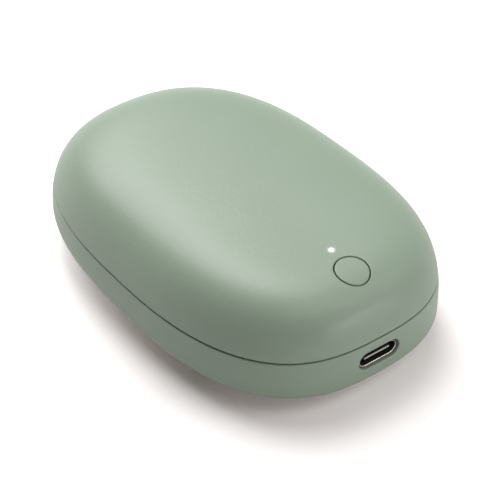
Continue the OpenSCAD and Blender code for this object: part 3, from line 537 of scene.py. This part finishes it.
# Cells and leads: two flat lithium cells in embossed aluminium laminate, one on the other, with two
# silicone-covered leads from the protection board across their ends to the circuit board.
cell_foil = metal("embossed_laminate", (0.72, 0.73, 0.74), 0.35, 500.0, (1, 1, 1))
for name in ("lower_cell", "upper_cell"):
    finish_node(name, cell_foil)
finish_node("battery_leads", moulded("silicone_insulation", (0.5, 0.025, 0.018), 0.5, 1200.0, 0.08))

# Heaters: a rolled aluminium plate behind each cover, a printed amber film on it with its sensor bead,
# and a sheet of foam that keeps the heat off the cells.
rolled_plate = metal("rolled_aluminium", (0.75, 0.76, 0.77), 0.35, 600.0, (1, 14, 14))
for name in ("upper_heat_plate", "lower_heat_plate"):
    finish_node(name, rolled_plate)


def printed_film(name):
    """Heating film: amber polyimide over a copper track that runs back and forth, shown by sine bands."""
    material = moulded(name, (0.6, 0.25, 0.03), 0.3, 1500.0, 0.02)
    tree = material.node_tree
    shader = tree.nodes["Principled BSDF"]
    place = next(n for n in tree.nodes if n.type == "TEX_COORD")
    tone = next(n for n in tree.nodes if n.type == "MIX_RGB")
    track = tree.nodes.new("ShaderNodeTexWave")
    track.bands_direction = "Y"
    track.inputs["Scale"].default_value = 160.0
    step = tree.nodes.new("ShaderNodeMapRange")
    step.inputs["From Min"].default_value = 0.45
    step.inputs["From Max"].default_value = 0.55
    blend = tree.nodes.new("ShaderNodeMixRGB")
    blend.inputs["Color2"].default_value = (0.45, 0.13, 0.02, 1)
    tree.links.new(place.outputs["Object"], track.inputs["Vector"])
    tree.links.new(track.outputs["Fac"], step.inputs["Value"])
    tree.links.new(step.outputs["Result"], blend.inputs["Fac"])
    tree.links.new(tone.outputs["Color"], blend.inputs["Color1"])
    tree.links.new(blend.outputs["Color"], shader.inputs["Base Color"])
    return material


heating_film = printed_film("amber_polyimide")
for name in ("upper_heating_film", "lower_heating_film"):
    finish_node(name, heating_film)
finish_node("film_thermistors", moulded("sensor_bead", (0.02, 0.02, 0.022), 0.5, 1800.0, 0.1))
fine_foam = moulded("closed_cell_foam", (0.06, 0.06, 0.062), 0.9, 3000.0, 0.8)
for name in ("upper_insulation", "lower_insulation"):
    finish_node(name, fine_foam)

# Upper cover: the domed top half, moulded in ABS with the same lacquer. A lip with snap catches goes into
# the lower cover's rebate, and tubes inside guide the key and the lamp's rod and take the frame's screws.
upper_rim, lip_inset, lip_end = 0.01355, 0.00085, 0.0116
key_x, key_radius, key_bore = 0.036, 0.00325, 0.00351
lamp_x, lamp_radius, lamp_bore = 0.0299, 0.00055, 0.0006


def crown_height_at(share, c, inset):
    """Height of the crown at a share of the way out, in the direction whose cosine is c."""
    power, fall = profile(c)
    return widest + (crown_height - inset - fall * share ** 2) * np.sqrt(1 - share ** power)


def crown_z(inset):
    """Surface function of the crown: its height over x and y. The share of the way out to the rim is the
    oval's own power norm of the point."""
    def find(x, y):
        """Height of the crown over a given x and y."""
        u = x / (half_length - inset)
        v = y / (half_width - inset) / (1 + egg * u)
        c = u / np.maximum(np.hypot(u, v), 1e-12)
        power = far_power + power_rise * (1 + c)
        share = (np.abs(u) ** power + np.abs(v) ** power) ** (1 / power)
        return crown_height_at(np.clip(share, 0, 1), c, inset)
    return find


def profile_shares(start, inset, count):
    """Shares from 1 at a start level to 0 at the pole, spaced so that the rings lie evenly along the crown's
    profile, its length taken toward both ends together."""
    share = 1 - np.linspace(0, 1, 20001) ** 2
    length = 0
    for c in (1.0, -1.0):
        reach = share * side_share(start, inset, c)
        run = np.hypot(np.diff(reach * half_length), np.diff(crown_height_at(reach, c, inset)))
        length = length + np.concatenate([[0], np.cumsum(run)])
    share = np.interp(np.linspace(0, length[-1], count), length, share)
    share[-1] = 0
    return share


def crown_rows(shares, start, inset):
    """Rings of the crown: the share of the outline that is left at the start level is drawn in toward the
    pole, and each point is at the height of the crown's formula."""
    x, y = outline(angles, inset)
    share = side_share(start, inset, np.cos(angles)) * shares[:, None]
    return np.stack([x * share, y * share, crown_height_at(share, np.cos(angles), inset)], -1)


dome_reach = half_length * float(side_share(upper_rim + rim_round, 0.0, 1.0))
ceiling_reach = (half_length - wall) * float(side_share(upper_rim, wall, 1.0))
dome_share = profile_shares(upper_rim + rim_round, 0.0, 112)
ceiling_share = dome_share * dome_reach / ceiling_reach
shoulder_share = profile_shares(upper_rim, wall, 96)
ceiling_share = np.concatenate([shoulder_share[shoulder_share > 0.955], ceiling_share[ceiling_share < 0.95]])
dome = crown_rows(dome_share, upper_rim + rim_round, 0.0)
ceiling = crown_rows(ceiling_share, upper_rim, wall)


def window_rows(share, reach, far, near):
    """First and last row of a crown grid between two distances along X."""
    return [int(np.argmin(np.abs(share * reach - x))) for x in (far, near)]


def crown_opening(radius, centre, edge, far, near, half_columns):
    """Windows in both faces of the crown, and the grids that fill them round a hole and line its bore."""
    sides = (middle - half_columns, middle + half_columns)
    windows = [(*window_rows(dome_share, dome_reach, far, near), *sides),
               (*window_rows(ceiling_share, ceiling_reach, far, near), *sides)]
    loop = window_rim(dome, *windows[0])
    directions = np.arctan2(loop[:, 1], loop[:, 0] - centre)
    outside = patch(loop, directions, centre, 0.0, 0.0, radius, edge, 2, crown_z(0.0), -1)
    inside = patch(window_rim(ceiling, *windows[1]), directions, centre, 0.0, 0.0, radius, 0.0, 2,
                   crown_z(wall), 1)
    bore = np.array([outside[-1] * (1 - s) + inside[-1] * s for s in np.linspace(0, 1, 4)])
    return windows, [cells(outside), cells(inside), cells(bore)]


key_windows, key_opening = crown_opening(key_bore, key_x, edge=0.00018, far=0.0408, near=0.0316,
                                         half_columns=14)
lamp_windows, lamp_opening = crown_opening(lamp_bore, lamp_x, edge=0.00006, far=0.0316, near=0.0284,
                                           half_columns=5)


def without(grid, windows):
    """Cells of a grid less several windows."""
    points, quads = cells(grid)
    row, column = quads[:, 0] // columns, quads[:, 0] % columns
    keep = np.ones(len(quads), bool)
    for top, bottom, left, right_end in windows:
        keep &= (row < top) | (row >= bottom) | (column < left) | (column >= right_end)
    return points, quads[keep]


def guide_tube(x, y, bore, radius, low, slot_half=0.0, slot_reach=0.0, slot_top=0.0):
    """Tube under the cover's skin, from a level up into the wall, its top along the crown. A slot for the
    key's rib, on the far side, is cut out of the bore from the low end up to the slot's top."""
    turn = np.arange(60) * 2 * math.pi / 60
    if slot_half:
        side = math.asin(slot_half / bore)
        turn = np.sort(np.concatenate([turn[np.abs(turn - math.pi) > side + 0.03],
                                       math.pi + np.array([-1.001, -1, -0.5, 0, 0.5, 1, 1.001]) * side]))
    slotted = (np.abs(turn - math.pi) <= math.asin(slot_half / bore) + 1e-9) & (slot_half > 0)
    cut = np.where(slotted, slot_reach, bore)
    cut_y = np.where(slotted, np.clip(bore * np.sin(turn), -slot_half, slot_half), bore * np.sin(turn))
    cut_x = np.where(slotted, -np.sqrt(cut ** 2 - cut_y ** 2), bore * np.cos(turn))
    round_x, round_y, inner_x, inner_y = (radius * np.cos(turn), radius * np.sin(turn),
                                          bore * np.cos(turn), bore * np.sin(turn))
    level = np.full(len(turn), low)
    inner_level = np.full(len(turn), slot_top if slot_half else low)
    top = crown_z(wall - 0.0004)
    rings = [(round_x, round_y, level), (round_x, round_y, top(x + round_x, y + round_y)),
             (inner_x, inner_y, top(x + inner_x, y + inner_y)), (inner_x, inner_y, inner_level),
             (cut_x, cut_y, inner_level), (cut_x, cut_y, level), (round_x, round_y, level)]
    return np.array([np.stack([x + px, y + py, pz], -1) for px, py, pz in rings])


lip = side_rows(
    np.concatenate([upper_rim + rim_round * (1 - np.sin(roll)),
                    [upper_rim, lip_end + 0.0002, lip_end, lip_end, upper_rim]]),
    [*(rim_round * (1 - np.cos(roll))), lip_inset, lip_inset, lip_inset + 0.0002, wall, wall])
snap_catches = []
for turn in catch_turns:
    spot = np.array(outline(turn, lip_inset)) * side_share(catch_level, lip_inset, math.cos(turn))
    step = np.array(outline(turn + 0.02, lip_inset)) - np.array(outline(turn - 0.02, lip_inset))
    face = math.atan2(-step[0], step[1])
    spot -= 0.00006 * np.array([math.cos(face), math.sin(face)])
    snap_catches.append(block((*spot, catch_level), (0.00072, 0.004, 0.0006), face, 0.3))
flange_thick, stem_drop, guide_wall, slot_half = 0.0008, 0.0011, 0.0012, 0.0006
stem_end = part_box("power_button")[0].z
guide_end = stem_end + flange_thick + stem_drop
guide_depth = float(crown_z(wall)(key_x, 0.0)) - guide_end
key_guide = guide_tube(key_x, 0.0, key_bore, key_bore + guide_wall, guide_end, slot_half,
                       key_bore + guide_wall / 2, guide_end + guide_depth / 2)
pipe_radius = 0.0011
pipe_top = float(crown_z(wall)(lamp_x + pipe_radius, 0.0)) - 0.00002
sleeve_bore, sleeve_radius, sleeve_length = 0.00115, 0.00205, 0.0032
lamp_guide = guide_tube(lamp_x, 0.0, sleeve_bore, sleeve_radius, pipe_top - sleeve_length)
ear_top, boss_radius, boss_inset, screw_hole = upper_rim + 0.00065, 0.0024, 0.0056, 0.00103
boss_x = np.array([-0.0215, 0.0122])
half_turn = angles[(angles > 0.2) & (angles < 2.9)]
boss_line = outline(half_turn, boss_inset)
boss_y = np.interp(boss_x, boss_line[0][::-1], boss_line[1][::-1])
screw_bosses = [guide_tube(x, side * y, screw_hole, boss_radius, ear_top) for x, y in zip(boss_x, boss_y)
                for side in (-1, 1)]
upper_cover = weld("moulded_upper_cover", [
    without(dome, [key_windows[0], lamp_windows[0]]), without(ceiling, [key_windows[1], lamp_windows[1]]),
    cells(lip), *key_opening, *lamp_opening, cells(key_guide), cells(lamp_guide)]
    + [cells(part) for part in snap_catches + screw_bosses])


def place_gradient(tree, centre, radius):
    """Fall-off from 1 at a place on the object to 0 at a radius from it, in Object coordinates."""
    place = tree.nodes.new("ShaderNodeTexCoord")
    shift = tree.nodes.new("ShaderNodeMapping")
    shift.inputs["Location"].default_value = [-c / radius for c in centre]
    shift.inputs["Scale"].default_value = [1 / radius] * 3
    ball = tree.nodes.new("ShaderNodeTexGradient")
    ball.gradient_type = "SPHERICAL"
    tree.links.new(place.outputs["Object"], shift.inputs["Vector"])
    tree.links.new(shift.outputs["Vector"], ball.inputs["Vector"])
    return ball.outputs["Fac"]


lamp_z = float(crown_z(0.0)(lamp_x, 0.0))
lacquer = soft_touch("soft_touch_upper", sage, 2.0)
shader = lacquer.node_tree.nodes["Principled BSDF"]
# Painted glow: the lacquer round the lamp's hole gives off a faint pale light of its own, strongest next to
# the rod and gone about 1.2 mm out, standing in for the lamp's light bleeding through the thin lacquer.
shader.inputs["Emission Color"].default_value = (0.93, 1.0, 0.94, 1)
painted_glow = lacquer.node_tree.nodes.new("ShaderNodeMapRange")
painted_glow.interpolation_type = "SMOOTHERSTEP"
painted_glow.inputs["From Min"].default_value = 0.1
painted_glow.inputs["From Max"].default_value = 0.8
painted_glow.inputs["To Max"].default_value = 0.4
painted_glow_place = place_gradient(lacquer.node_tree, (lamp_x, 0.0, lamp_z), 0.0013)
lacquer.node_tree.links.new(painted_glow_place, painted_glow.inputs["Value"])
lacquer.node_tree.links.new(painted_glow.outputs["Result"], shader.inputs["Emission Strength"])
upper_cover.data.materials.append(lacquer)
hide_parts("upper_cover")
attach(upper_cover, "housing")

# Key: a round cap moulded in the same plastic, its face curved as the crown and its edge rounded over.
# A skirt slides in the guide, a flange stops it, a rib keeps it from turning and a stem pushes the switch.
key_edge, skirt_radius, flange_radius, stem_radius = 0.00016, 0.00342, 0.00385, 0.0013
key_low = guide_end - 0.00002
skirt_top = float(crown_z(wall / 2)(key_x + key_bore, 0.0))
key_turn = np.arange(96) * 2 * math.pi / 96
key_rings = []
for radius, drop in ([(r, 0.0) for r in np.linspace(0, key_radius - key_edge, 9)]
                     + [(key_radius - key_edge * (1 - math.sin(t)), key_edge * (1 - math.cos(t)))
                        for t in roll[1:]]):
    px, py = key_x + radius * np.cos(key_turn), radius * np.sin(key_turn)
    key_rings.append(np.stack([px, py, crown_z(0.0)(px, py) - drop], -1))
key_body = lathe(key_x, 0.0, [(key_radius, skirt_top), (skirt_radius - 0.0001, skirt_top),
                              (skirt_radius, skirt_top - 0.0001), (skirt_radius, key_low),
                              (flange_radius, key_low), (flange_radius, key_low - flange_thick),
                              (stem_radius, key_low - flange_thick), (stem_radius, stem_end + 0.0002),
                              (stem_radius - 0.0002, stem_end), (0, stem_end)], 96)
rib_play = 0.00008
rib_height = guide_depth / 2 - rib_play
key_rib = block((key_x - key_bore + guide_wall / 6, 0.0, key_low + rib_height / 2),
                (guide_wall, 2 * slot_half - 2 * rib_play, rib_height), soften=0.1)
key_cap = weld("moulded_key", [cells(np.concatenate([np.array(key_rings), key_body])), cells(key_rib)])
key_cap.data.materials.append(soft_touch("soft_touch_key", sage, 3.0))
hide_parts("power_button")
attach(key_cap, "key")

# Light pipe: a clear acrylic rod that stands over the white lamp and comes up flush in the crown.
# It is lit: the tip glows, and its foot is let into the guide under the cover.
pipe_low, tip_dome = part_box("light_pipe")[0].z, 0.00008
pipe_rings = [np.stack([lamp_x + r * np.cos(key_turn[::3]), r * np.sin(key_turn[::3]),
                        crown_z(0.0)(lamp_x + r * np.cos(key_turn[::3]), r * np.sin(key_turn[::3]))
                        + tip_dome * (1 - (r / lamp_radius) ** 2)], -1)
              for r in np.linspace(0, lamp_radius, 7)]
pipe_body = lathe(lamp_x, 0.0, [(lamp_radius, pipe_top), (pipe_radius, pipe_top), (pipe_radius, pipe_low),
                                (0, pipe_low)])
pipe_rod = weld("clear_light_pipe", [cells(np.concatenate([np.array(pipe_rings), pipe_body]))])


def lit_acrylic(name):
    """Clear acrylic carrying light: milky where it scatters, and brightest in the middle of its tip."""
    material = bpy.data.materials.new(name)
    material.use_nodes = True
    tree = material.node_tree
    shader = tree.nodes["Principled BSDF"]
    shader.inputs["Roughness"].default_value = 0.25
    tip = tree.nodes.new("ShaderNodeMapRange")
    tip.inputs["To Max"].default_value = 2.0
    tree.links.new(place_gradient(tree, (lamp_x, 0.0, lamp_z), 0.0006), tip.inputs["Value"])
    tree.links.new(tip.outputs["Result"], shader.inputs["Emission Strength"])
    place = tree.nodes.new("ShaderNodeTexCoord")
    milk = tree.nodes.new("ShaderNodeTexNoise")
    milk.inputs["Scale"].default_value = 1500.0
    tone = tree.nodes.new("ShaderNodeMixRGB")
    tone.inputs["Color1"].default_value = (0.86, 0.87, 0.85, 1)
    tone.inputs["Color2"].default_value = (0.95, 0.95, 0.94, 1)
    glow = tree.nodes.new("ShaderNodeMixRGB")
    glow.inputs["Color1"].default_value = (0.9, 0.93, 0.9, 1)
    glow.inputs["Color2"].default_value = (1.0, 1.0, 1.0, 1)
    tree.links.new(place.outputs["Object"], milk.inputs["Vector"])
    tree.links.new(milk.outputs["Fac"], tone.inputs["Fac"])
    tree.links.new(milk.outputs["Fac"], glow.inputs["Fac"])
    tree.links.new(tone.outputs["Color"], shader.inputs["Base Color"])
    tree.links.new(glow.outputs["Color"], shader.inputs["Emission Color"])
    return material


pipe_rod.data.materials.append(lit_acrylic("lit_acrylic"))
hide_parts("light_pipe")
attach(pipe_rod, "housing")

# Floor: a plain white sweep that takes the soft shadow. What a camera or a reflection sees of it has a
# little light of its own, so that it shows as white; that light is less and warmer near the pebble, which
# paints a warm shadow there on top of the cast one.
floor_mesh = bpy.data.meshes.new("floor")
floor_mesh.from_pydata([(x, y, 0.0) for x, y in [(-1, -1), (1, -1), (1, 1), (-1, 1)]], [], [(0, 1, 2, 3)])
floor = bpy.data.objects.new("floor", floor_mesh)
bpy.context.scene.collection.objects.link(floor)


def seen_by_eye(tree):
    """1 for what the camera, a reflection or a clear piece sees, and 0 for light that falls on the object."""
    rays = tree.nodes.new("ShaderNodeLightPath")
    seen = tree.nodes.new("ShaderNodeMath")
    seen.operation = "MAXIMUM"
    seen_clear = tree.nodes.new("ShaderNodeMath")
    seen_clear.operation = "MAXIMUM"
    tree.links.new(rays.outputs["Is Camera Ray"], seen.inputs[0])
    tree.links.new(rays.outputs["Is Glossy Ray"], seen.inputs[1])
    tree.links.new(seen.outputs[0], seen_clear.inputs[0])
    tree.links.new(rays.outputs["Is Transmission Ray"], seen_clear.inputs[1])
    return seen_clear.outputs[0]


paper = bpy.data.materials.new("white_sweep")
paper.use_nodes = True
tree = paper.node_tree
shader = tree.nodes["Principled BSDF"]
shader.inputs["Base Color"].default_value = (0.9, 0.89, 0.89, 1)
shader.inputs["Roughness"].default_value = 0.9
shader.inputs["Specular IOR Level"].default_value = 0.1
shadow_middle, shadow_reach = (0.022, -0.024), (0.08, 0.2)
own_light = tree.nodes.new("ShaderNodeMath")
own_light.operation = "MULTIPLY"
place = tree.nodes.new("ShaderNodeTexCoord")
stretch = tree.nodes.new("ShaderNodeMapping")
stretch.inputs["Location"].default_value = (*[-c / r for c, r in zip(shadow_middle, shadow_reach)], 0)
stretch.inputs["Scale"].default_value = (*[1 / r for r in shadow_reach], 1)
around = tree.nodes.new("ShaderNodeTexGradient")
around.gradient_type = "SPHERICAL"
# Painted shadow: the own light falls from 0.5 far off to 0.09 round the shadow's middle, and turns warm
# there.
level = tree.nodes.new("ShaderNodeMapRange")
level.inputs["To Min"].default_value = 0.5
level.inputs["To Max"].default_value = 0.09
painted_shadow_tint = tree.nodes.new("ShaderNodeMixRGB")
painted_shadow_tint.inputs["Color1"].default_value = (1.0, 1.0, 1.0, 1)
painted_shadow_tint.inputs["Color2"].default_value = (1.0, 0.76, 0.73, 1)
tree.links.new(place.outputs["Object"], stretch.inputs["Vector"])
tree.links.new(stretch.outputs["Vector"], around.inputs["Vector"])
tree.links.new(around.outputs["Fac"], level.inputs["Value"])
tree.links.new(around.outputs["Fac"], painted_shadow_tint.inputs["Fac"])
tree.links.new(painted_shadow_tint.outputs["Color"], shader.inputs["Emission Color"])
tree.links.new(level.outputs["Result"], own_light.inputs[1])
tree.links.new(seen_by_eye(tree), own_light.inputs[0])
tree.links.new(own_light.outputs[0], shader.inputs["Emission Strength"])
floor_mesh.materials.append(paper)


# Studio: four soft boxes, a card and a pale room. The tall box stands beyond the far end and runs its
# highlight along the near shoulder; the others light the crown, the far rim and the socket end.
def soft_box(name, place, width, height, power):
    """Rectangular lamp at a place, turned so that it faces the pebble."""
    data = bpy.data.lights.new(name, "AREA")
    data.shape = "RECTANGLE"
    data.size, data.size_y, data.energy = width, height, power
    lamp = bpy.data.objects.new(name, data)
    out = np.array(place) - np.array(lamp_aim)
    out = out / np.linalg.norm(out)
    across = np.cross([0.0, 0.0, 1.0], out)
    across = across / np.linalg.norm(across)
    rise = np.cross(out, across)
    lamp.matrix_world = Matrix([[across[k], rise[k], out[k], place[k]] for k in range(3)] + [[0, 0, 0, 1]])
    bpy.context.scene.collection.objects.link(lamp)


lamp_aim = (0, 0.0001, 0.01)
soft_box("tall_box", (-0.6627, 0.0405, 0.758), 0.76, 0.9, 10.9)
soft_box("back_box", (-0.296, 0.171, 0.95), 0.5, 0.5, 3.3)
soft_box("over_box", (0.5, 0.0, 0.876), 0.5, 0.5, 1.6)
soft_box("side_box", (0.5417, 0.5417, 0.653), 0.5, 0.6, 2.0)
soft_box("end_card", (0.9299, 0.3385, 0.14), 0.5, 0.22, 2.2)
world = bpy.data.worlds.new("pale_room")
bpy.context.scene.world = world
world.use_nodes = True
tree = world.node_tree
room = tree.nodes["Background"]
room.inputs["Strength"].default_value = 0.0
seen_room = tree.nodes.new("ShaderNodeBackground")
seen_room.inputs["Color"].default_value = (1, 1, 1, 1)
seen_room.inputs["Strength"].default_value = 1.0
choice = tree.nodes.new("ShaderNodeMixShader")
tree.links.new(seen_by_eye(tree), choice.inputs["Fac"])
tree.links.new(room.outputs["Background"], choice.inputs[1])
tree.links.new(seen_room.outputs["Background"], choice.inputs[2])
tree.links.new(choice.outputs["Shader"], tree.nodes["World Output"].inputs["Surface"])
bpy.context.scene.view_settings.view_transform = "Standard"
